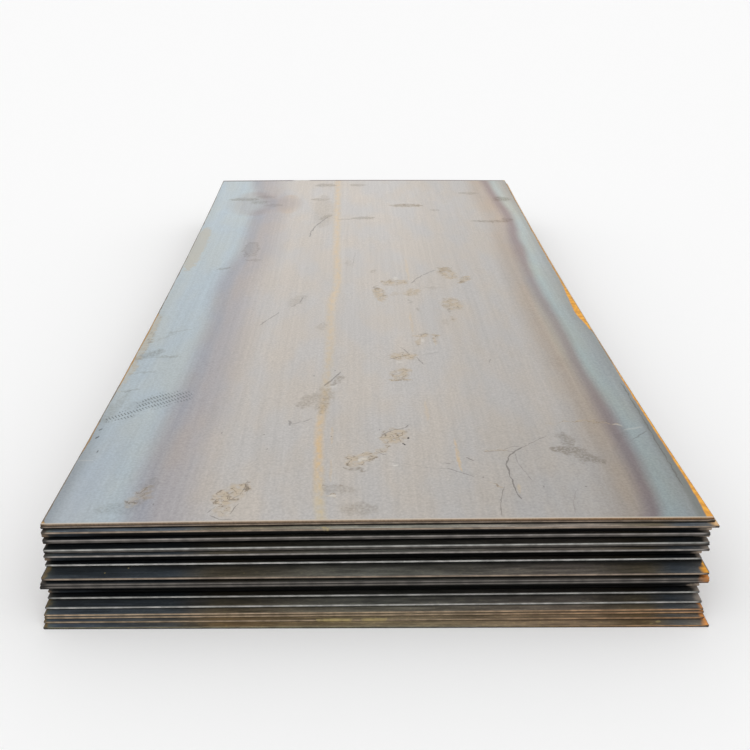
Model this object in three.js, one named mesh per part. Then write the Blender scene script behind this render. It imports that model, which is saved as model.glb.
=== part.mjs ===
// A stack of hot-rolled steel plates, laid straight on each other.
// +X runs across the plates, +Y along them to the far end, +Z up; millimetres.
import * as THREE from 'three';

// One plate as it leaves the mill and the shear.
const plateLength = 3000;
const plateWidth = 1500;
const plateThickness = 6;
const millEdgeBulge = 1.6; // the rolled long edge stands out past the flat faces
const rollover = 0.8; // the shear pulls the upper corner of a cut end down over this length
const rolloverDrop = 0.5;
const shearLean = 0.4; // the foot of a cut end stands out past its upper corner

// How the plates lie on each other.
const scaleGap = 0.3; // mill scale keeps neighbours this far apart where they bear
const flatBeds = 16; // so many plates at the bottom lie flat across
const crownOfTop = 3; // crossbow of the uppermost plate, middle over long edges

// Facets of the curved faces.
const spansAlong = 8;
const spansAcross = 4;
const bulgeFacets = 4;

const scaleGrey = { color: 0x4a4d50, roughness: 0.5, metalness: 0.7 };
const brightScale = { color: 0xb0adab, roughness: 0.45, metalness: 0.8 };

// Every plate from the floor up: how far its near end stands out, how far it is shifted to +X, how
// far it is turned (degrees, to the left seen from above), the air that its springing ends keep
// over the plate below, and how much wider than ordered its untrimmed edges leave it.
const layers = [
  { out: 88, shift: -6, turn: -0.76, air: 0, wide: -1 },
  { out: 72, shift: -10, turn: -0.43, air: 0, wide: -4 },
  { out: 63, shift: -9, turn: -0.31, air: 0, wide: -2 },
  { out: 61, shift: -10, turn: -0.27, air: 0, wide: -3 },
  { out: 44, shift: -10, turn: -0.23, air: 0, wide: 1 },
  { out: 18, shift: -9, turn: -0.22, air: 0, wide: 5 },
  { out: 4, shift: -8, turn: -0.1, air: 2.1, wide: 10 },
  { out: -2, shift: -8, turn: -0.2, air: 2.1, wide: 9 },
  { out: 0, shift: -6, turn: 0, air: 2.1, wide: 4 },
  { out: -2, shift: -7, turn: -0.1, air: 2.1, wide: 2 },
  { out: 8, shift: -10, turn: -0.2, air: 2.1, wide: -1 },
  { out: 43, shift: -8, turn: -0.2, air: 2.1, wide: 9 },
  { out: 46, shift: -7, turn: -0.2, air: 0, wide: 5 },
  { out: 46, shift: -7, turn: -0.22, air: 0, wide: 3 },
  { out: 32, shift: -6, turn: -0.2, air: 0, wide: 8 },
  { out: 44, shift: -6, turn: -0.23, air: 0, wide: -3 },
  { out: 0, shift: -9, turn: -0.06, air: 0, wide: 0 },
  { out: -10, shift: -9, turn: 0, air: 3.1, wide: 5 },
  { out: -8, shift: -7, turn: 0.1, air: 3.1, wide: 4 },
  { out: 6, shift: -1, turn: 0, air: 3.1, wide: 7 },
  { out: 17, shift: -2, turn: 0, air: 3.1, wide: -3 },
  { out: 7, shift: -1, turn: 0.1, air: 0, wide: 1 },
  { out: 9, shift: -2, turn: 0.1, air: 0, wide: -1 },
  { out: -10, shift: -2, turn: 0, air: 0, wide: 11 },
  { out: -4, shift: -1, turn: 0.1, air: 0, wide: 6 },
  { out: -1, shift: -2, turn: 0.07, air: 0, wide: 3 },
  { out: -9, shift: -1, turn: 0, air: 1.1, wide: 11 },
  { out: -7, shift: 1, turn: 0.1, air: 1.1, wide: 12 },
  { out: -3, shift: 5, turn: 0.1, air: 1.1, wide: 15 },
  { out: 12, shift: 6, turn: -0.07, air: 1.1, wide: 7 },
  { out: 1, shift: 1, turn: 0, air: 1.1, wide: 4 },
  { out: 0, shift: 0, turn: 0, air: 0, wide: 0 },
];

// Height of a plate's underside at a place (x, y) of the stack. Its middle bears on the plate below
// and its ends rise by the air kept so far. Above the flat beds its middle line is crowned a little
// more in each layer.
function bedHeight(index, x, y) {
  const rise = layers.slice(0, index + 1).reduce((sum, layer) => sum + layer.air, 0);
  const crown = crownOfTop * Math.max(0, index + 1 - flatBeds) / (layers.length - flatBeds);
  const along = 2 * y / plateLength;
  const across = 2 * x / plateWidth;
  return index * (plateThickness + scaleGap) + rise * along ** 2 + crown * (1 - across ** 2);
}

// The section across a plate as height and width stations, counter-clockwise seen from the near end:
// along the underside to the right, round the rolled edge, back along the top and round the left edge.
// A station's place across is a share of the flat face (-1 to 1) plus a bulge in millimetres.
function sectionStations() {
  const stations = [];
  for (const side of [1, -1]) {
    for (let i = 0; i <= spansAcross; i += 1) {
      const share = side * (2 * i / spansAcross - 1);
      stations.push({ share, bulge: 0, height: side > 0 ? 0 : plateThickness, top: side < 0 });
    }
    for (let i = 1; i < bulgeFacets; i += 1) {
      const angle = Math.PI * (i / bulgeFacets - 0.5);
      const bulge = side * millEdgeBulge * Math.cos(angle);
      const height = plateThickness / 2 * (1 + side * Math.sin(angle));
      stations.push({ share: side, bulge, height, top: false });
    }
  }
  return stations;
}

// The places along a plate where its section is repeated: both cut ends with their rollover, and
// between them the lines where the bed changes slope, which all plates share.
function lengthStations(out) {
  const nearEnd = -plateLength / 2 - out;
  const farEnd = nearEnd + plateLength;
  const inner = [];
  for (let i = 1; i < spansAlong; i += 1) {
    inner.push({ y: plateLength * (i / spansAlong - 0.5), slant: 0, drop: 0, lean: 0 });
  }
  return [
    { y: nearEnd, slant: 1, drop: rolloverDrop, lean: shearLean },
    { y: nearEnd + rollover, slant: 1, drop: 0, lean: 0 },
    ...inner,
    { y: farEnd - rollover, slant: 1, drop: 0, lean: 0 },
    { y: farEnd, slant: 1, drop: rolloverDrop, lean: -shearLean },
  ];
}

// A plate is its section carried from the near end to the far end over the bed.
function plateGeometry(index) {
  const { out, shift, turn, wide } = layers[index];
  const slope = Math.tan(THREE.MathUtils.degToRad(turn));
  const section = sectionStations();
  const rings = lengthStations(out);
  const flatHalf = (plateWidth + wide) / 2 - millEdgeBulge;
  const positions = [];
  for (const { y, slant, drop, lean } of rings) {
    for (const { share, bulge, height, top } of section) {
      const sideways = Math.abs(share) === 1 ? shift - slope * (y + plateLength / 2) : 0;
      const px = share * flatHalf + bulge + sideways;
      const py = y + slant * slope * px - (height === 0 ? lean : 0);
      positions.push(px, py, bedHeight(index, px, py) + height - (top ? drop : 0));
    }
  }
  const size = section.length;
  const faces = [];
  for (let ring = 0; ring + 1 < rings.length; ring += 1) {
    for (let i = 0; i < size; i += 1) {
      const a = ring * size + i;
      const b = ring * size + (i + 1) % size;
      faces.push(a, b + size, b, a, a + size, b + size);
    }
  }
  const outline = section.map(({ share, bulge, height }) => {
    return new THREE.Vector2(share * flatHalf + bulge, height);
  });
  const last = (rings.length - 1) * size;
  for (const [a, b, c] of THREE.ShapeUtils.triangulateShape(outline, [])) {
    faces.push(a, b, c, last + a, last + c, last + b);
  }
  const geometry = new THREE.BufferGeometry();
  geometry.setAttribute('position', new THREE.Float32BufferAttribute(positions, 3));
  geometry.setIndex(faces);
  geometry.computeVertexNormals();
  return geometry;
}

const stack = new THREE.Group();
layers.forEach((layer, index) => {
  const isTop = index === layers.length - 1;
  const steel = new THREE.MeshStandardMaterial(isTop ? brightScale : scaleGrey);
  const plate = new THREE.Mesh(plateGeometry(index), steel);
  plate.name = isTop ? 'top_plate' : `plate_${String(index + 1).padStart(2, '0')}`;
  stack.add(plate);
});

// The stack stands on z = 0 with the middle of its outline over the origin.
const reach = new THREE.Box3().setFromObject(stack);
const middle = reach.getCenter(new THREE.Vector3());
stack.position.set(-middle.x, -middle.y, -reach.min.z);

export default stack;
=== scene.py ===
import math

import bmesh
import bpy
from mathutils import Matrix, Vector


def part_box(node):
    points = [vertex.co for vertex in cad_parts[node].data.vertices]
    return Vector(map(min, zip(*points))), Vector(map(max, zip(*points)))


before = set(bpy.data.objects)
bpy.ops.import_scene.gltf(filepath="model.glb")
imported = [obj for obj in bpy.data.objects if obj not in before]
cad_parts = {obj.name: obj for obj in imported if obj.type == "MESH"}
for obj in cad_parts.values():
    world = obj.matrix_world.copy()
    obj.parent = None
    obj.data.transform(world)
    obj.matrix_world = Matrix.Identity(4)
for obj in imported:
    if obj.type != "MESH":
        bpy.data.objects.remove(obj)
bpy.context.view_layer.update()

# The camera stands off the near end, at chest height, a little left of the
# middle line, and looks down the length of the stack.
mm = 0.001
top_low, top_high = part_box("top_plate")
stands_left, stands_off, stands_over = 51.3 * mm, 1553.4 * mm, 1151.9 * mm
camera_place = (
    (top_low.x + top_high.x) / 2 - stands_left,
    top_low.y - stands_off,
    top_high.z + stands_over,
)
turned, tipped, rolled = math.radians(-1.407), math.radians(26.988), math.radians(0.26)
camera = bpy.data.objects.new("camera", bpy.data.cameras.new("camera"))
camera.data.lens, camera.data.sensor_width = 41.24, 36
camera.data.clip_end = 200
camera.matrix_world = (
    Matrix.Translation(camera_place)
    @ Matrix.Rotation(turned, 4, "Z")
    @ Matrix.Rotation(math.radians(90) - tipped, 4, "X")
    @ Matrix.Rotation(rolled, 4, "Z")
)
bpy.context.scene.collection.objects.link(camera)
bpy.context.scene.camera = camera


# The lower plates: 6 mm hot-rolled steel under dark mill scale, sheared at both
# ends and with rolled long edges. They lie loose, their ends out of line.
half_width, plate_length = 750, 3000
plates = sorted(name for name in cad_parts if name.startswith("plate_"))


def put(tree, kind, feeds=(), out=0, **settings):
    """Adds one shader node. Its feeds are numbers, colours or other nodes' outputs."""
    node = tree.nodes.new("ShaderNode" + kind)
    for name, value in settings.items():
        setattr(node, name, value)
    for socket, feed in feeds.items() if isinstance(feeds, dict) else enumerate(feeds):
        if isinstance(feed, bpy.types.NodeSocket):
            tree.links.new(feed, node.inputs[socket])
        else:
            node.inputs[socket].default_value = feed
    return node.outputs[out]


def work(tree, how, first, *others):
    """One Math node, or a row of them that takes up more than two values one by one."""
    result = put(tree, "Math", [first, *others[:1]], operation=how)
    for other in others[1:]:
        result = put(tree, "Math", [result, other], operation=how)
    return result


def spread(tree, value, low, high, to_low=0.0, to_high=1.0, how="SMOOTHSTEP"):
    """Takes a value from one range to another, held at both ends."""
    held = how == "LINEAR"  # a smooth step holds its ends by itself
    ranges = [value, low, high, to_low, to_high]
    return put(tree, "MapRange", ranges, interpolation_type=how, clamp=held)


def graded(tree, place, start, stop, at_start=0.0, at_stop=1.0, how="SMOOTHSTEP"):
    """A value that changes between two places, which are in mm."""
    return spread(tree, place, start * mm, stop * mm, at_start, at_stop, how)


def varied(tree, noise, low, high, how="SMOOTHSTEP"):
    """Takes a noise, which keeps mostly between 0.3 and 0.7, to another range."""
    return spread(tree, noise, 0.3, 0.7, low, high, how)


def tint(tree, share, under, over):
    """Lays one colour over another."""
    return put(tree, "Mix", {0: share, 6: under, 7: over}, 2, data_type="RGBA")


def shaded(tree, share, colour, shade):
    """Multiplies a colour by a shade."""
    return put(tree, "Mix", {0: share, 6: colour, 7: shade}, 2, data_type="RGBA", blend_type="MULTIPLY")


def chip(*levels):
    """A colour as read off a paint chip, its red, green and blue from 0 to 255."""
    shares = [level / 255 for level in levels]
    return (*[v / 12.92 if v <= 0.04045 else ((v + 0.055) / 1.055) ** 2.4 for v in shares], 1)


def ramp(tree, value, stops, how="EASE"):
    """Colours by a place. The stops' places are in mm."""
    first, last = stops[0][0], stops[-1][0]
    output = put(tree, "ValToRGB", [graded(tree, value, first, last, how="LINEAR")])
    colours = output.node.color_ramp
    colours.interpolation = how
    colours.elements.remove(colours.elements[-1])
    for place, colour in stops:
        share = (place - first) / (last - first)
        stop = colours.elements.new(share) if place != first else colours.elements[0]
        stop.position, stop.color = share, chip(*colour)
    return output


def grain(tree, place, scale, detail=3, stretch=(1, 1, 1), out=0):
    """Noise, drawn out along the plate where the stretch is small."""
    stretched = put(tree, "Mapping", {0: place, 3: stretch})
    return put(tree, "TexNoise", {"Vector": stretched, "Scale": scale, "Detail": detail}, out)


def lie(name):
    """How a plate lies: the middle of its near end, its turn, and its crown across that end."""
    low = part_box(name)[0]
    reach_in = 40 * mm
    ends = [v.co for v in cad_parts[name].data.vertices if v.co.y < low.y + reach_in]
    left, right = min(ends, key=lambda end: end.x), max(ends, key=lambda end: end.x)
    middle = (left + right) / 2
    middle.z = max(end.z for end in ends if abs(end.x - middle.x) < reach_in)
    shoulder = max(end.z for end in ends if abs(end.x - left.x) < reach_in)
    return middle, math.atan2(right.y - left.y, right.x - left.x), middle.z - shoulder


def steel(name, node):
    """A new material with its tree and shader, and a place on the plate: across it from
    its middle line, along it from its near end, and down from its upper face there."""
    material = bpy.data.materials.new(name)
    material.use_nodes = True
    tree = material.node_tree
    middle, turn, crown = lie(node)
    place = put(tree, "TexCoord", out="Object")
    laid = put(tree, "Mapping", [place, middle, (0, 0, turn)], vector_type="TEXTURE")
    across, along, up = put(tree, "SeparateXYZ", [laid]).node.outputs
    share = work(tree, "DIVIDE", across, half_width * mm)
    fall = work(tree, "MULTIPLY", share, share, crown)
    down = work(tree, "MULTIPLY", work(tree, "ADD", up, fall), -1)
    return material, tree, tree.nodes["Principled BSDF"], place, across, along, down


def facing(tree, axis, low, high):
    """1 where a face looks along an axis, to either side, and 0 where it doesn't."""
    directions = put(tree, "SeparateXYZ", [put(tree, "NewGeometry", out="Normal")]).node.outputs
    return spread(tree, work(tree, "ABSOLUTE", directions[axis]), low, high)


def cut_ends(tree):
    """1 on the sheared ends."""
    return facing(tree, "Y", 0.5, 0.8)


def long_edges(tree):
    """1 on the rolled long edges."""
    return facing(tree, "X", 0.3, 0.7)


# The finishes of the two halves of a plate run into each other this far past its middle.
blend = 100


def right_half(tree, across, at_left=0.0, at_right=1.0):
    """One value on the left half of a plate and another on the right."""
    return graded(tree, across, -blend, blend, at_left, at_right)


def patches(tree, plan, marks, soft):
    """1 inside oval marks, fading out over the soft share of their reach. A mark is its middle
    (across, along), its length and width in mm, its turn in degrees and its strength. A place
    is inside where its distances to the oval's two focal points add up to less than the length."""
    total = 0
    for x, y, long, wide, turn, strength in marks:
        focal = math.sqrt(long ** 2 - wide ** 2)
        dx, dy = (focal / 2 * side(math.radians(turn)) for side in (math.cos, math.sin))
        ends = [((x + sign * dx) * mm, (y + sign * dy) * mm, 0) for sign in (-1, 1)]
        distances = [put(tree, "VectorMath", [plan, end], 1, operation="DISTANCE") for end in ends]
        full = focal + (1 - soft) ** 2 * (long - focal)
        inside = graded(tree, work(tree, "ADD", *distances), full, long, strength, 0)
        total = work(tree, "MAXIMUM", total, inside)
    return total


# Mill scale on the strips that show, inwards from the left and from the right long edge.
left_scale = [
    (0, (50, 55, 50)), (25, (40, 45, 50)), (280, (45, 50, 55)), (400, (65, 60, 50)), (750, (80, 80, 75)),
]
right_scale = [
    (0, (60, 60, 60)), (70, (50, 55, 60)), (140, (60, 55, 45)), (300, (80, 75, 70)), (750, (80, 80, 75)),
]
# How light each outer strip is painted, as painted light and shade; the covered ones are painted nearly
# black, in shade.
strip_painted_lights = {
    "plate_30": 2.6, "plate_26": 0.35, "plate_23": 0.35, "plate_22": 0.7, "plate_21": 1.1,
    "plate_17": 0.3, "plate_16": 1.3, "plate_14": 0.35, "plate_06": 0.35, "plate_05": 1.2,
    "plate_04": 1.5, "plate_03": 1.5, "plate_02": 1.6, "plate_01": 2.0,
}
covered_painted_shade = 0.15
# A strip that shows more than a slit gets a painted shadow of the plate above, a deep one the darkest, in mm.
slit, deep_strip = 3, 30
fleck_shade = (1.35, 1.33, 1.22, 1)
# How brown the lowest strips have turned.
browned = {"plate_04": 0.4, "plate_03": 1, "plate_02": 1, "plate_01": 1}
brown_wash = [
    (-750, (236, 244, 255)), (-300, (255, 230, 196)), (500, (255, 236, 206)), (750, (255, 240, 220)),
]
# The corners, where rain has reached in: left and right, olive or orange where it stood.
olive, sand, orange_rust, rust = (105, 90, 60), (220, 180, 130), (230, 160, 50), (210, 140, 70)
left_corners = dict.fromkeys(["plate_16", "plate_05", *browned], olive)
right_corners = {"plate_30": sand, "plate_16": orange_rust, "plate_14": rust, **dict.fromkeys(browned, rust)}
left_corner, right_corner = (70, 65, 60), (140, 130, 120)
# How far those stains reach in from the long edges, and where the plate above covers them, in mm.
left_corner_reach, right_corner_reach, covered_corner_reach = 12, 20, 8
# How strongly rust covers the cut end as well, at the right corner.
end_rust = {"plate_14": 0.7, "plate_13": 0.6, "plate_12": 0.2}
# Pale chips and streaks in the scale: oval marks as for patches.
pale_chips = (206, 188, 126)
blemishes = {
    "plate_30": [(-130, 3, 14, 9, 0, 0.6), (-121, 1, 10, 5, 20, 0.45)],
    "plate_16": [(-612, 17, 6, 6, 0, 0.9), (-563, 33, 6, 6, 0, 0.8), (-300, 12, 5, 5, 0, 0.4)],
    "plate_02": [(-94, 0, 84, 5, 0, 0.6), (-4, 0, 60, 5, 0, 0.5)],
    "plate_01": [(637, 10, 14, 9, 10, 0.55), (620, 5, 10, 4, 0, 0.3)],
}
# How light a cut end is, down from its upper rim: rolled over, bright where sheared, torn below. The bright
# band is partly the shear's bare steel and partly painted light, and the dark below it partly painted shade.
cut_profile = [
    (0, (120, 120, 120)), (1.2, (150, 150, 150)), (2.2, (255, 255, 255)), (4.6, (255, 255, 255)),
    (5.5, (120, 120, 120)), (6.4, (70, 70, 70)),
]
# How far up the bright line of some cut ends is moved, in mm.
line_lifts = {"plate_31": 1.7, "plate_14": -0.9, "plate_13": -2, "plate_12": 1.6, "plate_01": 1.6}
# The finish of the cut ends that show: bright where the shear has left bare steel, greyer where
# it has dulled, and stained, tan or brown where damp has got at it.
bright_cut, bare_cut, pale_cut, grey_cut = (225, 225, 220), (200, 200, 195), (165, 165, 160), (140, 135, 130)
dark_cut, stained_cut, tan_cut, brown_cut = (100, 95, 90), (145, 130, 115), (175, 155, 130), (110, 105, 85)
cut_finishes = {
    "plate_31": stained_cut, "plate_30": stained_cut, "plate_26": grey_cut, "plate_25": dark_cut,
    "plate_23": pale_cut, "plate_22": dark_cut, "plate_21": grey_cut, "plate_17": bright_cut,
    "plate_16": stained_cut, "plate_14": dark_cut, "plate_13": dark_cut, "plate_12": dark_cut,
    "plate_06": bare_cut, "plate_05": bare_cut, "plate_04": tan_cut, "plate_03": tan_cut,
    "plate_02": tan_cut, "plate_01": brown_cut,
}
# The ends of the plates that lie further back are painted with light at the corners alone and with near-black
# painted shade further in.
left_hidden_shading = [(0, (110, 95, 80)), (12, (60, 60, 60)), (30, (40, 45, 50)), (150, (12, 12, 12))]
right_hidden_shading = [(0, (155, 140, 125)), (16, (110, 100, 90)), (30, (30, 30, 30)), (60, (8, 8, 8))]
far_cut = (160, 150, 140)
# The rolled edges: dark scale, and rust from brown to orange.
edge_scale, edge_brown, edge_orange = (70, 62, 56), (110, 84, 62), (160, 106, 58)


def rolled_edge(tree, place, number):
    """The rounded long edges: dark scale, rusted through in places, each plate in its own way, with painted
    shade where the edge turns up or down.
    """
    drawn = put(tree, "Mapping", {0: place, 3: (1, 0.4, 1)})
    feeds = {"Vector": drawn, "W": 0.7 * number, "Scale": 30, "Detail": 6}
    flakes = put(tree, "TexNoise", feeds, noise_dimensions="4D")
    rusted = tint(tree, spread(tree, flakes, 0.4, 0.62), chip(*edge_scale), chip(*edge_brown))
    rusted = tint(tree, spread(tree, flakes, 0.6, 0.74), rusted, chip(*edge_orange))
    # Painted light and shade: lighter where the edge faces straight out, darker where it turns up or down.
    outermost = facing(tree, "X", 0.5, 1)
    return shaded(tree, 1, rusted, spread(tree, outermost, 0, 0.8, 0.4, 1.1))


def stack_scale(name, cover):
    """The finish of one lower plate: scaled faces, sheared ends and rolled long edges."""
    material, tree, shader, place, across, along, down = steel(name + "_scale", name)

    # The strip that shows: streaked scale, with painted light at the cut end and painted shade under the
    # plate above.
    edge = work(tree, "SUBTRACT", half_width * mm, work(tree, "ABSOLUTE", across))
    worn = grain(tree, place, 40, 5)
    margin = work(tree, "ADD", edge, varied(tree, worn, -5 * mm, 5 * mm))
    rightness = right_half(tree, across)
    scale = tint(tree, rightness, ramp(tree, margin, left_scale), ramp(tree, margin, right_scale))
    streaks = grain(tree, place, 110, 4, (0.1, 1, 1))
    scale = shaded(tree, 1, scale, varied(tree, streaks, 0.65, 1.35))
    flecks = spread(tree, grain(tree, place, 240, 3, (0.5, 1, 1)), 0.5, 0.7)
    scale = shaded(tree, flecks, scale, fleck_shade)
    light = strip_painted_lights.get(name, covered_painted_shade)
    painted_light_and_shade = graded(tree, along, 4, 40, 1.5 * light, 0.8 * light)
    shown = (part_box(cover)[0].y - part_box(name)[0].y) / mm
    if shown > slit:
        darkest = 0.03 if shown > deep_strip else 0.3
        painted_shadow_of_plate_above = graded(tree, along, 0.6 * shown, 0.92 * shown, 1, darkest)
        painted_light_and_shade = work(tree, "MULTIPLY", painted_light_and_shade, painted_shadow_of_plate_above)
    # The painted light and shade hold at the near end only; the far half keeps the scale's own tone.
    far = graded(tree, along, plate_length / 2 - blend, plate_length / 2 + blend)
    scale = shaded(tree, 1, scale, put(tree, "Mix", {0: far, 2: painted_light_and_shade, 3: 1}))
    if name in browned:
        scale = shaded(tree, browned[name], scale, ramp(tree, across, brown_wash))

    # Its stained corners. A deep strip's right one gets narrower towards the plate above.
    left_stain = chip(*left_corners.get(name, left_corner))
    right_stain = chip(*right_corners.get(name, right_corner))
    corner = tint(tree, rightness, left_stain, right_stain)
    corner = shaded(tree, 1, corner, varied(tree, streaks, 0.75, 1.2))
    right_reach = right_corner_reach * mm
    if shown > deep_strip:
        covered_reach = covered_corner_reach * mm
        right_reach = graded(tree, along, 0.4 * shown, 0.7 * shown, right_reach, covered_reach)
    reach = right_half(tree, across, left_corner_reach * mm, right_reach)
    scale = tint(tree, spread(tree, margin, 4 * mm, reach, 1, 0), scale, corner)

    # The cut end with its bright line, partly painted light. The lowest ends are rustier towards the right.
    lifted = work(tree, "ADD", down, line_lifts.get(name, 0) * mm)
    shear_line_and_painted_light = ramp(tree, lifted, cut_profile, how="LINEAR")
    if name in cut_finishes:
        cut = chip(*cut_finishes[name])
        if name in browned:
            cut = tint(tree, graded(tree, across, 100, 740, 0, 0.35), cut, chip(*rust))
        cut = shaded(tree, 1, cut, shear_line_and_painted_light)
        # Painted shade: the cut end is darker towards its corners at the long edges.
        cut = shaded(tree, 1, cut, graded(tree, margin, 1, 14, 0.25, 1))
        if name in end_rust:
            rust_share = graded(tree, margin, 6, 24, end_rust[name], 0)
            rust_share = work(tree, "MULTIPLY", rust_share, rightness)
            cut = tint(tree, rust_share, cut, chip(*rust))
    else:
        # Ends further back: painted light at the corners, painted shade inside.
        cut = tint(tree, rightness, ramp(tree, margin, left_hidden_shading), ramp(tree, margin, right_hidden_shading))
    cut = tint(tree, far, cut, shaded(tree, 1, chip(*far_cut), shear_line_and_painted_light))
    scoring = grain(tree, place, 110, 5, (0.35, 1, 0.12))
    cut = shaded(tree, 1, cut, varied(tree, scoring, 0.72, 1.28))

    side = rolled_edge(tree, place, plates.index(name))
    colour = tint(tree, long_edges(tree), scale, side)
    colour = tint(tree, cut_ends(tree), colour, cut)
    if name in blemishes:
        plan = put(tree, "CombineXYZ", [across, along, 0])
        chipped = patches(tree, plan, blemishes[name], 0.8)
        chipped = work(tree, "MULTIPLY", chipped, spread(tree, scoring, 0.3, 0.6, 0.3, 1))
        colour = tint(tree, chipped, colour, chip(*pale_chips))
    tree.links.new(colour, shader.inputs["Base Color"])
    shader.inputs["Metallic"].default_value = 0.2
    shader.inputs["Specular IOR Level"].default_value = 0.3 if name in cut_finishes else 0.1
    shader.inputs["Roughness"].default_value = 0.5
    return material


for name, cover in zip(plates, plates[1:] + ["top_plate"]):
    finish = stack_scale(name, cover)
    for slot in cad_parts[name].material_slots:
        slot.material = finish


# The top plate: the same hot-rolled plate, its light grey scale in full view. The scale
# cooled bluish along both long edges, with a dark purple line inside each bluish band. It
# has been rained on, so rust lines the edges, and people have walked on it in muddy shoes.
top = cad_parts["top_plate"]
finish, tree, shader, place, across, along, down = steel("top_scale", "top_plate")


def course(tree, along, places):
    """A value in metres that wanders along the plate, from (along, value) pairs in mm."""
    values = [value for _, value in places]
    low, high = min(values), max(values)
    output = put(tree, "FloatCurve", [1, work(tree, "DIVIDE", along, plate_length * mm)])
    line = output.node.mapping.curves[0]
    stops = [(y / plate_length, (value - low) / (high - low)) for y, value in places]
    line.points[0].location, line.points[1].location = stops[0], stops[-1]
    for stop in stops[1:-1]:
        line.points.new(*stop)
    output.node.mapping.update()
    return spread(tree, output, 0, 1, low * mm, high * mm, "LINEAR")


def stained(tree, mask, strength, under, stain):
    """Lays a stain over a colour where the mask is 1, at the given strength."""
    return tint(tree, work(tree, "MULTIPLY", mask, strength), under, chip(*stain))


def legs(line, width, strength):
    """The marks of one thin line through points in mm: a long oval for each leg."""
    marks = []
    for (x0, y0), (x1, y1) in zip(line, line[1:]):
        long, turn = math.hypot(x1 - x0, y1 - y0), math.degrees(math.atan2(y1 - y0, x1 - x0))
        marks.append(((x0 + x1) / 2, (y0 + y1) / 2, long + width, width, turn, strength))
    return marks


# The two lines where the scale turns from grey to bluish, and the colours across them.
left_line = course(tree, along, [
    (0, -530), (250, -545), (500, -545), (1000, -535), (1500, -545), (1750, -530), (2000, -508),
    (2300, -508), (2450, -505), (2590, -465), (2680, -490), (2800, -535), (3000, -560),
])
right_line = course(tree, along, [
    (0, 603), (150, 632), (300, 640), (600, 640), (1000, 632), (1400, 634), (1800, 646), (2100, 655),
    (2400, 665), (2600, 655), (3000, 645),
])
bluish, violet, fawn, light_grey = (175, 185, 190), (160, 160, 165), (170, 165, 165), (190, 185, 180)
cream, tan_brown, plum = (180, 175, 170), (165, 155, 145), (135, 125, 125)
slate, lead = (155, 165, 165), (150, 155, 155)
left_bands = [(-70, bluish), (5, violet), (45, fawn), (190, light_grey)]
right_bands = [
    (-640, light_grey), (-150, cream), (-48, tan_brown), (0, plum), (40, slate), (90, lead),
]
wander = varied(tree, grain(tree, place, 6, 3, (1, 0.3, 1)), -9 * mm, 9 * mm, "LINEAR")
shaken = work(tree, "ADD", across, wander)
left_side = ramp(tree, work(tree, "SUBTRACT", shaken, left_line), left_bands)
right_side = ramp(tree, work(tree, "SUBTRACT", shaken, right_line), right_bands)
scale = tint(tree, right_half(tree, across), left_side, right_side)

# Painted light: the scale is painted brighter towards the far end, more so at the right, and painted shade
# greys the near right corner.
scale = shaded(tree, 1, scale, graded(tree, along, 300, 2700, 1, 1.2, "LINEAR"))
far_right_painted_light = work(tree, "MULTIPLY", graded(tree, along, 600, 2600), graded(tree, across, 500, 700))
scale = shaded(tree, far_right_painted_light, scale, (1.27, 1.21, 1.17, 1))
near_right_painted_shade = work(tree, "MULTIPLY", graded(tree, along, 50, 650, 1, 0), graded(tree, across, -500, 750))
scale = shaded(tree, near_right_painted_shade, scale, (0.9, 0.91, 0.92, 1))

# Rolling leaves fine streaks lengthwise; the scale is cloudy and finely grained.
rolled_in = grain(tree, place, 110, 3, (1, 0.012, 1))
clouds = grain(tree, place, 5, 5, (1, 0.6, 1))
warmth = grain(tree, place, 9, 4, (1, 0.35, 1))
fine = grain(tree, place, 170, 3)
for texture, depth in (rolled_in, 0.04), (clouds, 0.03), (fine, 0.1):
    scale = shaded(tree, 1, scale, varied(tree, texture, 1 - depth, 1 + depth, "LINEAR"))
warm, cool = chip(255, 252, 248), chip(250, 252, 255)
scale = shaded(tree, 1, scale, tint(tree, spread(tree, warmth, 0.35, 0.65), warm, cool))

# A lilac bloom lies along the near left edge.
lilac = (160, 166, 184)
bloom = graded(tree, across, -700, -600, 1, 0)
bloom = work(tree, "MULTIPLY", bloom, graded(tree, along, 100, 600, 0.26, 0))
scale = tint(tree, bloom, scale, chip(*lilac))

# Marks are laid out on a plan of the plate that is shaken by some mm, so that their rims are
# ragged: much for mud and dirt, little for scratches.
ragged_shake, steady_shake = 50 * mm, 12 * mm
plan = put(tree, "CombineXYZ", [across, along, 0])
shake = put(tree, "VectorMath", [grain(tree, place, 45, 4, out=1), (0.5, 0.5, 0.5)], operation="SUBTRACT")
ragged, steady = (
    put(tree, "VectorMath", [shake, (reach, reach, 0), plan], operation="MULTIPLY_ADD")
    for reach in (ragged_shake, steady_shake)
)

# The scale is greyer round the far left bend and browner past it and at the far right, and
# the purple line is paler halfway.
washes = [
    ((-545, 2600, 440, 300, 90, 1), (0.94, 0.85, 0.8, 1)),
    ((-375, 2590, 320, 160, 90, 1), (1, 0.93, 0.86, 1)),
]
for spot, wash in washes:
    scale = shaded(tree, patches(tree, plan, [spot], 1), scale, wash)
far_warm = work(tree, "MULTIPLY", graded(tree, along, 2200, 2800), graded(tree, across, 660, 730))
scale = shaded(tree, far_warm, scale, (1, 0.9, 0.82, 1))
paleness = course(tree, along, [
    (0, 0), (450, 0), (700, 500), (1000, 900), (1300, 1000), (1700, 600), (2050, 0), (3000, 0),
])
on_line = work(tree, "ABSOLUTE", work(tree, "SUBTRACT", across, right_line))
paleness = work(tree, "MULTIPLY", paleness, graded(tree, on_line, 12, 50, 1, 0))
scale = shaded(tree, paleness, scale, (1.12, 1.22, 1.21, 1))

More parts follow.
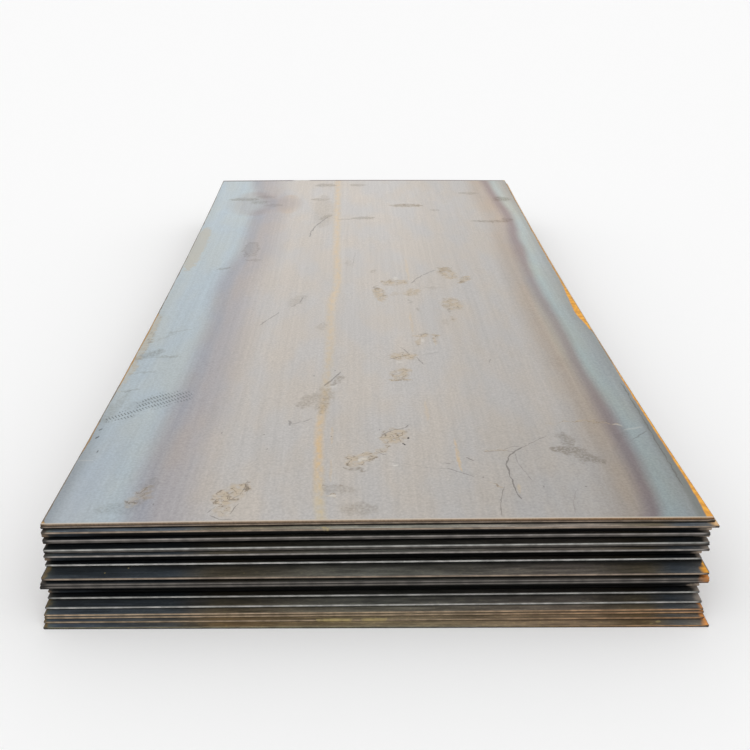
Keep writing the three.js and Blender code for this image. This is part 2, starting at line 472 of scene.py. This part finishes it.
# Rust has run lengthwise along rolled-in lines: one long stripe and a few short ones.
stripe_line = course(tree, along, [
    (0, -130), (280, -147), (420, -150), (560, -142), (700, -140), (1000, -136), (1250, -141),
    (1400, -134), (1600, -121), (1750, -124), (1900, -131), (2250, -134), (2900, -139), (3000, -139),
])
stripe_half = course(tree, along, [
    (0, 7), (300, 5), (450, 5), (700, 8), (1000, 11), (1600, 12), (2300, 13), (3000, 13),
])
off_stripe = work(tree, "ABSOLUTE", work(tree, "SUBTRACT", across, stripe_line))
stripe_fade = 14 * mm
in_stripe = spread(tree, off_stripe, 0, work(tree, "ADD", stripe_half, stripe_fade), 1, 0)
patchy = spread(tree, grain(tree, place, 70, 5, (1, 0.5, 1)), 0.3, 0.65, 0.3, 1)
short_stripes = [
    (204, 285, 170, 12, 90, 0.7), (143, 520, 120, 14, 90, 0.35), (-115, 210, 110, 10, 90, 0.35),
    (-116, 385, 90, 12, 90, 0.4), (140, 1160, 190, 14, 90, 0.6), (155, 1700, 260, 16, 90, 0.5),
    (208, 1010, 90, 12, 90, 0.4), (332, 122, 45, 12, 85, 0.4), (-137, 1250, 240, 26, 90, 0.3),
]
stripes = work(tree, "MAXIMUM", in_stripe, patches(tree, steady, short_stripes, 1))
stripe_strength = 0.55
stripes = work(tree, "MULTIPLY", stripes, patchy, stripe_strength)
stripe_colour = ramp(tree, along, [
    (0, (210, 190, 140)), (300, (225, 185, 115)), (700, (205, 185, 150)), (1600, (225, 200, 160)),
])
scale = tint(tree, stripes, scale, stripe_colour)

# Mud that dried in shoe prints, tan, with the cracks and tread lines showing in it.
dried_mud, mud_strength, mud_cracks = (194, 174, 142), 0.55, (96, 84, 72)
mud_prints = [
    (-345, 112, 124, 76, 55, 1), (-355, 42, 70, 58, 60, 0.6), (-110, 95, 40, 30, 0, 0.7),
    (-42, 266, 104, 66, 42, 0.9), (45, 378, 108, 84, 50, 1), (18, 312, 66, 20, 45, 0.6),
    (-141, 590, 180, 50, 88, 0.36), (95, 885, 104, 70, 8, 1), (84, 762, 98, 80, 50, 1),
    (74, 718, 76, 24, 0, 0.9), (209, 1010, 84, 26, 85, 0.5), (98, 1552, 120, 84, 0, 1),
    (38, 1425, 150, 56, 97, 1), (160, 1448, 100, 76, 60, 0.8), (310, 1650, 150, 86, 105, 0.9),
    (368, 1576, 100, 50, 60, 0.9), (298, 1330, 140, 110, 90, 0.9), (300, 298, 70, 18, 5, 0.5),
    (276, 141, 44, 12, -42, 0.7), (560, 455, 130, 10, 0, 0.75), (630, 441, 80, 8, -14, 0.75),
    (475, 445, 70, 10, 22, 0.3), (-735, 1000, 500, 40, 90, 0.5), (-555, 108, 110, 60, 70, 0.6),
    (186, 1048, 92, 32, 5, 0.9), (153, 1000, 70, 24, 85, 0.7), (300, 1310, 84, 44, -12, 0.6),
    (195, 2560, 170, 70, 0, 0.6), (285, 1190, 50, 24, 80, 0.4), (96, 1430, 60, 40, 30, 0.35),
]
mud = patches(tree, ragged, mud_prints, 0.7)
broken = spread(tree, grain(tree, place, 60, 6), 0.34, 0.56, 0.2, 1)
mud = work(tree, "MULTIPLY", mud, broken)
scale = stained(tree, mud, mud_strength, scale, dried_mud)
ribbed = put(tree, "Mapping", {0: ragged, 3: (0.6, 1.4, 1)})
cells = put(tree, "TexVoronoi", {"Vector": ribbed, "Scale": 42}, feature="DISTANCE_TO_EDGE")
cracks = work(tree, "MULTIPLY", spread(tree, cells, 0, 0.06, 1, 0), spread(tree, mud, 0.12, 0.5))
cracks = work(tree, "MULTIPLY", cracks, graded(tree, along, 500, 1400, 0.66, 0.45))
scale = tint(tree, cracks, scale, chip(*mud_cracks))

# Dirt wiped thin: grey-brown smudges and prints, mottled, and the rim of one print.
dirt, dirt_strength = (186, 178, 164), 0.75
print_rim = [
    (-522, 1940), (-506, 2026), (-478, 2030), (-462, 1950), (-474, 1866), (-505, 1858), (-522, 1940),
]
smudges = [
    (488, 301, 100, 52, -8, 1), (496, 358, 84, 54, 100, 0.75), (532, 262, 96, 60, -30, 0.8),
    (-105, 143, 62, 12, 0, 0.8), (-95, 124, 86, 50, 0, 0.45), (-45, 42, 100, 72, 0, 0.5),
    (-184, 590, 116, 62, 62, 0.6), (-144, 590, 190, 64, 86, 0.4), (-108, 716, 84, 30, 62, 0.8),
    (-168, 1135, 74, 44, 90, 0.4), (-205, 2480, 520, 130, 90, 0.35),
    (-264, 1370, 130, 70, 70, 0.4), (303, 1690, 80, 60, 90, 0.5), (26, 1495, 44, 20, 90, 0.9),
    (179, 1060, 44, 16, 0, 0.8), (78, 716, 62, 12, -5, 0.8), (-56, 217, 64, 14, -12, 0.8),
    (-640, 590, 150, 70, 35, 0.3), (-545, 130, 130, 60, 80, 0.4), (-590, 60, 120, 70, 10, 0.35),
    (-704, 916, 116, 56, 45, 0.75), (-652, 898, 90, 12, 0, 0.7), (-688, 784, 76, 22, 5, 0.5),
    (-712, 662, 60, 18, 15, 0.5), (-724, 560, 200, 40, 80, 0.35), (-645, 1100, 90, 16, 25, 0.45),
    (-680, 1050, 90, 22, 50, 0.4), (-492, 1940, 190, 64, 90, 0.35), (-470, 1812, 80, 34, 0, 0.6),
    *legs(print_rim, 22, 0.6),
    (-575, 1715, 70, 30, 35, 0.8), (-193, 2383, 90, 56, 60, 1), (-12, 2368, 116, 60, 0, 0.85),
    (-88, 2353, 84, 26, 0, 0.7), (-600, 2670, 150, 66, 0, 0.9), (-520, 2620, 110, 80, 0, 0.7),
    (-225, 2660, 100, 60, 0, 0.8),
    (-205, 2905, 120, 80, 0, 0.9), (-35, 2905, 100, 60, 0, 0.7), (682, 2670, 116, 100, 0, 1),
    (580, 2320, 190, 46, 0, 0.9), (662, 2345, 80, 70, 0, 0.8), (527, 2765, 110, 50, 0, 0.7),
    (330, 2488, 60, 40, 0, 0.6), (-450, 2570, 110, 60, 0, 0.5), (-500, 2710, 110, 60, 0, 0.5),
    (195, 2560, 170, 60, 0, 0.6), (580, 840, 130, 110, 0, 0.12), (650, 380, 120, 30, 60, 0.2),
    (172, 1276, 44, 20, 90, 0.6), (148, 1356, 40, 24, 90, 0.5), (278, 1268, 40, 16, 90, 0.6),
    (258, 1165, 60, 24, 90, 0.3), (-84, 1772, 70, 50, 90, 0.3), (20, 1675, 50, 26, 60, 0.5),
    (244, 1492, 80, 26, 0, 0.4), (357, 1556, 36, 26, 0, 0.8),
]
wiped = patches(tree, ragged, smudges, 0.9)
mottled = spread(tree, grain(tree, place, 130, 4), 0.35, 0.62, 0.3, 1)
wiped = work(tree, "MULTIPLY", wiped, mottled, dirt_strength)
scale = shaded(tree, wiped, scale, chip(*dirt))

# Scratches, the thin dark rims of the prints, specks and grit.
scored, scored_strength, grit_grey = (88, 82, 78), 0.62, (44, 38, 34)
scratches = [
    *legs([(24, 252), (63, 240), (112, 222), (168, 215)], 3, 0.45),
    *legs([(168, 215), (203, 196), (231, 176)], 4, 0.8),
    *legs([(297, 129), (286, 95), (276, 56), (272, 8)], 3.5, 0.7),
    *legs([(448, 375), (420, 354), (392, 330), (373, 317)], 3.5, 0.65),
    *legs([(373, 317), (350, 295), (329, 268), (319, 232), (320, 182), (323, 98), (329, 78)], 5.5, 0.95),
    *legs([(350, 292), (325, 301), (301, 296), (270, 294)], 3.5, 0.7),
    *legs([(371, 323), (345, 318), (322, 303)], 3.5, 0.6),
    *legs([(347, 287), (350, 238), (361, 182), (368, 158)], 3, 0.6),
    *legs([(469, 122), (448, 70), (438, 10)], 3, 0.4),
    *legs([(14, 385), (42, 410), (77, 424), (92, 442)], 3.5, 0.9),
    *legs([(-354, 78), (-323, 105), (-312, 168)], 3, 0.6),
    *legs([(-312, 168), (-306, 105)], 3, 0.5),
    *legs([(-389, 32), (-372, 60)], 3.5, 0.8),
    *legs([(-337, 26), (-322, 68)], 3.5, 0.8),
    *legs([(-380, 22), (-356, 5), (-330, 5)], 4, 0.8),
    *legs([(-145, 684), (-122, 725), (-100, 770)], 9, 0.8),
    *legs([(735, 690), (734, 600), (733, 482), (731, 386), (728, 312), (727, 250), (724, 130)], 6, 0.95),
    *legs([(-381, 1142), (-356, 1192), (-320, 1260)], 5.5, 0.7),
    *legs([(-284, 1306), (-254, 1348), (-244, 1404)], 5.5, 0.6),
    *legs([(164, 1540), (180, 1580), (212, 1628), (244, 1664), (268, 1686)], 7, 0.75),
    *legs([(92, 955), (121, 900), (49, 862)], 5, 0.8),
    *legs([(139, 877), (157, 827)], 5.5, 0.7),
    *legs([(155, 892), (212, 914)], 5.5, 0.4),
    *legs([(370, 860), (362, 838)], 5, 0.6),
    *legs([(-52, 1900), (-64, 1716)], 5.5, 0.35),
    *legs([(-183, 2374), (-209, 2315), (-230, 2258), (-249, 2170), (-253, 2105)], 10, 0.75),
    *legs([(-233, 468), (-229, 444)], 10, 0.7),
    *legs([(-228, 448), (-197, 462), (-172, 482)], 5, 0.6),
    *legs([(224, 268), (240, 252)], 5.5, 0.9),
    *legs([(164, 242), (180, 239)], 3.5, 0.8),
    *legs([(0, 300), (22, 282)], 3.5, 0.8),
    *legs([(672, 358), (721, 398)], 7, 0.6),
    *legs([(-722, 651), (-698, 668)], 5.5, 0.6),
]
dots = [
    (-407, 405), (-295, 394), (-279, 320), (-118, 380), (10, 414), (57, 384), (38, 377), (24, 382),
    (-729, 476), (-519, 71), (253, 174), (392, 130), (492, 130),
    (-115, 785), (-176, 749), (-112, 742), (336, 1712),
]
specks = [(x, y, 8, 6, 90, 0.75) for x, y in dots]
scratched = patches(tree, steady, scratches + specks, 0.8)
scale = stained(tree, scratched, scored_strength, scale, scored)
grit = [
    (83, 369, 11, 8, 90, 1), (70, 336, 14, 8, 120, 1), (57, 384, 7, 6, 0, 0.7), (26, 383, 6, 5, 0, 0.7),
    (-731, 432, 13, 8, 70, 0.6), (-730, 389, 16, 8, 60, 0.7), (-708, 316, 12, 7, 80, 0.6),
]
scale = tint(tree, patches(tree, steady, grit, 0.8), scale, chip(*grit_grey))

# A ribbed sole has slid over the left band, turned by this many degrees, and left rows of ticks.
slide_turn, tick_grey, tick_strength = 35, (96, 100, 100), 0.7
tread_spots = [(-688, 515, 120, 52, 38, 1), (-605, 598, 160, 96, 35, 1), (-555, 615, 90, 60, 50, 0.8)]
tread = patches(tree, ragged, tread_spots, 0.4)
ribs = put(tree, "Mapping", [plan, (0, 0, 0), (0, 0, math.radians(slide_turn))], vector_type="TEXTURE")
ticks = put(tree, "TexWave", {"Vector": ribs, "Scale": 36, "Distortion": 1.2, "Detail Scale": 2}, 1)
rows = put(tree, "TexWave", {"Vector": ribs, "Scale": 14, "Distortion": 0.6}, 1, bands_direction="Y")
ticks = work(tree, "MULTIPLY", spread(tree, ticks, 0.45, 0.75), spread(tree, rows, 0.12, 0.45))
scale = stained(tree, work(tree, "MULTIPLY", tread, ticks), tick_strength, scale, tick_grey)

# Bare bright spots where the scale has flaked.
bare_steel, bare_strength = (224, 221, 214), 0.55
flaked = [
    (-36, 262, 34, 22, 30, 0.8), (45, 232, 14, 12, 0, 1), (168, 166, 8, 8, 0, 1), (-108, 96, 22, 12, 0, 0.9),
    (-127, 672, 44, 18, 20, 0.5), (168, 1007, 28, 16, 90, 0.6), (104, 1596, 40, 24, 90, 0.7),
    (-372, 60, 36, 8, 60, 0.35), (-340, 38, 32, 9, 60, 0.35), (652, 436, 28, 8, -14, 0.5),
    (690, 415, 60, 12, 20, 0.35), (-729, 273, 40, 8, 5, 0.5), (85, 842, 26, 16, 0, 0.6),
]
bare = patches(tree, steady, flaked, 0.8)
scale = stained(tree, bare, bare_strength, scale, bare_steel)

# Rust along the long edges: a yellow-orange margin at the right, thin and brown at the left.
to_right = work(tree, "SUBTRACT", half_width * mm, across)
to_left = work(tree, "ADD", half_width * mm, across)
right_margin = course(tree, along, [
    (0, 17), (60, 13), (110, 10), (300, 7), (600, 5.5), (800, 4), (1040, 2), (1100, 7), (1180, 14),
    (1250, 22), (1320, 19), (1420, 14), (1550, 7), (1700, 5), (2000, 4), (2400, 2.5), (3000, 2.5),
])
left_margin = course(tree, along, [
    (0, 10), (30, 3), (300, 3), (340, 4.5), (450, 4.5), (500, 3), (700, 4.5), (1240, 4.5), (1300, 3),
    (3000, 3),
])
frayed = varied(tree, grain(tree, place, 60, 4, (1, 0.3, 1)), -1.5 * mm, 1.5 * mm, "LINEAR")
off_right = work(tree, "SUBTRACT", work(tree, "ADD", to_right, frayed), right_margin)
off_left = work(tree, "SUBTRACT", work(tree, "ADD", to_left, frayed), left_margin)
rusty_right, rusty_left = (graded(tree, off, -1, 2, 1, 0) for off in (off_right, off_left))

# Beside the rust the scale is greyer at the right, darker at the near left and tan in places.
beside_grey, tan_wash, tan_strength = (108, 108, 102), (188, 179, 160), 0.6
beside = graded(tree, off_right, 9, 30, 1, 0)
shadowed = work(tree, "MULTIPLY", beside, graded(tree, along, 400, 750, 0.55, 0.15))
scale = tint(tree, shadowed, scale, chip(*beside_grey))
edge_grey = graded(tree, to_left, 4, 50, 1, 0)
edge_grey = work(tree, "MULTIPLY", edge_grey, graded(tree, along, 250, 700, 1, 0.15))
scale = shaded(tree, edge_grey, scale, (0.75, 0.75, 0.75, 1))
tan_spots = [(-722, 1970, 560, 84, 90, 0.9), (-745, 960, 620, 44, 90, 0.7)]
scale = stained(tree, patches(tree, ragged, tan_spots, 0.5), tan_strength, scale, tan_wash)

# The rust itself turns brown where it is old.
light_orange, deep_orange, old_rust = (240, 176, 66), (216, 150, 60), (134, 114, 86)
left_brown, left_orange = (120, 104, 84), (200, 156, 92)
mixed = spread(tree, grain(tree, place, 60, 4), 0.4, 0.6)
orange = tint(tree, mixed, chip(*light_orange), chip(*deep_orange))
browning = course(tree, along, [
    (0, 0), (780, 0), (850, 800), (1080, 800), (1120, 0), (1460, 0), (1560, 350), (2000, 400),
    (2600, 1000), (3000, 1000),
])
scale = tint(tree, rusty_right, scale, tint(tree, browning, orange, chip(*old_rust)))
orange_spots = [(-750, 0, 30, 20, 0, 0.6), (-750, 395, 160, 60, 90, 0.35), (-750, 980, 560, 60, 90, 0.6)]
left_spots = patches(tree, plan, orange_spots, 0.3)
left_rust = tint(tree, left_spots, chip(*left_brown), chip(*left_orange))
scale = tint(tree, rusty_left, scale, left_rust)

# The sheared ends and rolled long edges: a bright burr along the upper rim, brown below it.
burr, burr_strength = (200, 187, 170), 0.8
rim = graded(tree, along, 1, 4, 1, 0)
scale = stained(tree, rim, burr_strength, scale, burr)
far_rim = graded(tree, along, plate_length - 20, plate_length - 10)
far_rust = ramp(tree, across, [
    (-390, (105, 90, 90)), (-366, (195, 190, 185)), (-304, (195, 190, 185)), (-280, (130, 120, 115)),
    (735, (130, 120, 115)), (750, (205, 175, 105)),
])
scale = tint(tree, far_rim, scale, far_rust)
sheared = [(0, (205, 190, 170)), (2, (145, 125, 105)), (6.4, (90, 75, 60))]
cut = ramp(tree, down, sheared, how="LINEAR")
cut_rust = ramp(tree, across, [
    (-750, (120, 95, 55)), (-735, (230, 225, 220)), (0, (255, 250, 245)), (735, (250, 225, 190)),
    (750, (220, 170, 95)),
])
scoring = grain(tree, place, 260, 3, (1, 1, 0.12))
cut = shaded(tree, 1, cut, cut_rust)
cut = shaded(tree, 1, cut, varied(tree, scoring, 0.85, 1.15))
side = rolled_edge(tree, place, len(plates))
ends, sides = cut_ends(tree), long_edges(tree)
colour = tint(tree, ends, tint(tree, sides, scale, side), cut)
tree.links.new(colour, shader.inputs["Base Color"])

# Scale has a satin metal gloss; rust and dried mud are dull.
dirty = work(tree, "MAXIMUM", rusty_right, rusty_left, ends, sides, stripes, work(tree, "MULTIPLY", mud, 0.7))
tree.links.new(spread(tree, dirty, 0, 1, 0.92, 0.1, "LINEAR"), shader.inputs["Metallic"])
sheen = varied(tree, clouds, 0.38, 0.46, "LINEAR")
tree.links.new(tint(tree, dirty, sheen, (0.8, 0.8, 0.8, 1)), shader.inputs["Roughness"])
bump = put(tree, "Bump", {"Strength": 0.2, "Distance": 0.3 * mm, "Height": fine})
tree.links.new(bump, shader.inputs["Normal"])
for slot in top.material_slots:
    slot.material = finish


# The floor: one pale matt sheet that the stack lies on, wide enough to run past
# every view.
floor_half = 40
sheet = bmesh.new()
bmesh.ops.create_grid(sheet, x_segments=1, y_segments=1, size=floor_half)
floor_mesh = bpy.data.meshes.new("floor")
sheet.to_mesh(floor_mesh)
sheet.free()
floor = bpy.data.objects.new("floor", floor_mesh)
bpy.context.scene.collection.objects.link(floor)
pale = bpy.data.materials.new("pale_floor")
pale.use_nodes = True
pale_shader = pale.node_tree.nodes["Principled BSDF"]
pale_shader.inputs["Base Color"].default_value = (0.96, 0.96, 0.96, 1)
pale_shader.inputs["Roughness"].default_value = 0.9
floor_mesh.materials.append(pale)

# The light: an even white room, as bright from every side, so that shadows
# stay soft.
room = bpy.data.worlds.new("room")
room.use_nodes = True
walls = room.node_tree.nodes["Background"]
walls.inputs["Color"].default_value = (1, 1, 1, 1)
walls.inputs["Strength"].default_value = 1
bpy.context.scene.world = room
bpy.context.scene.view_settings.view_transform = "Standard"
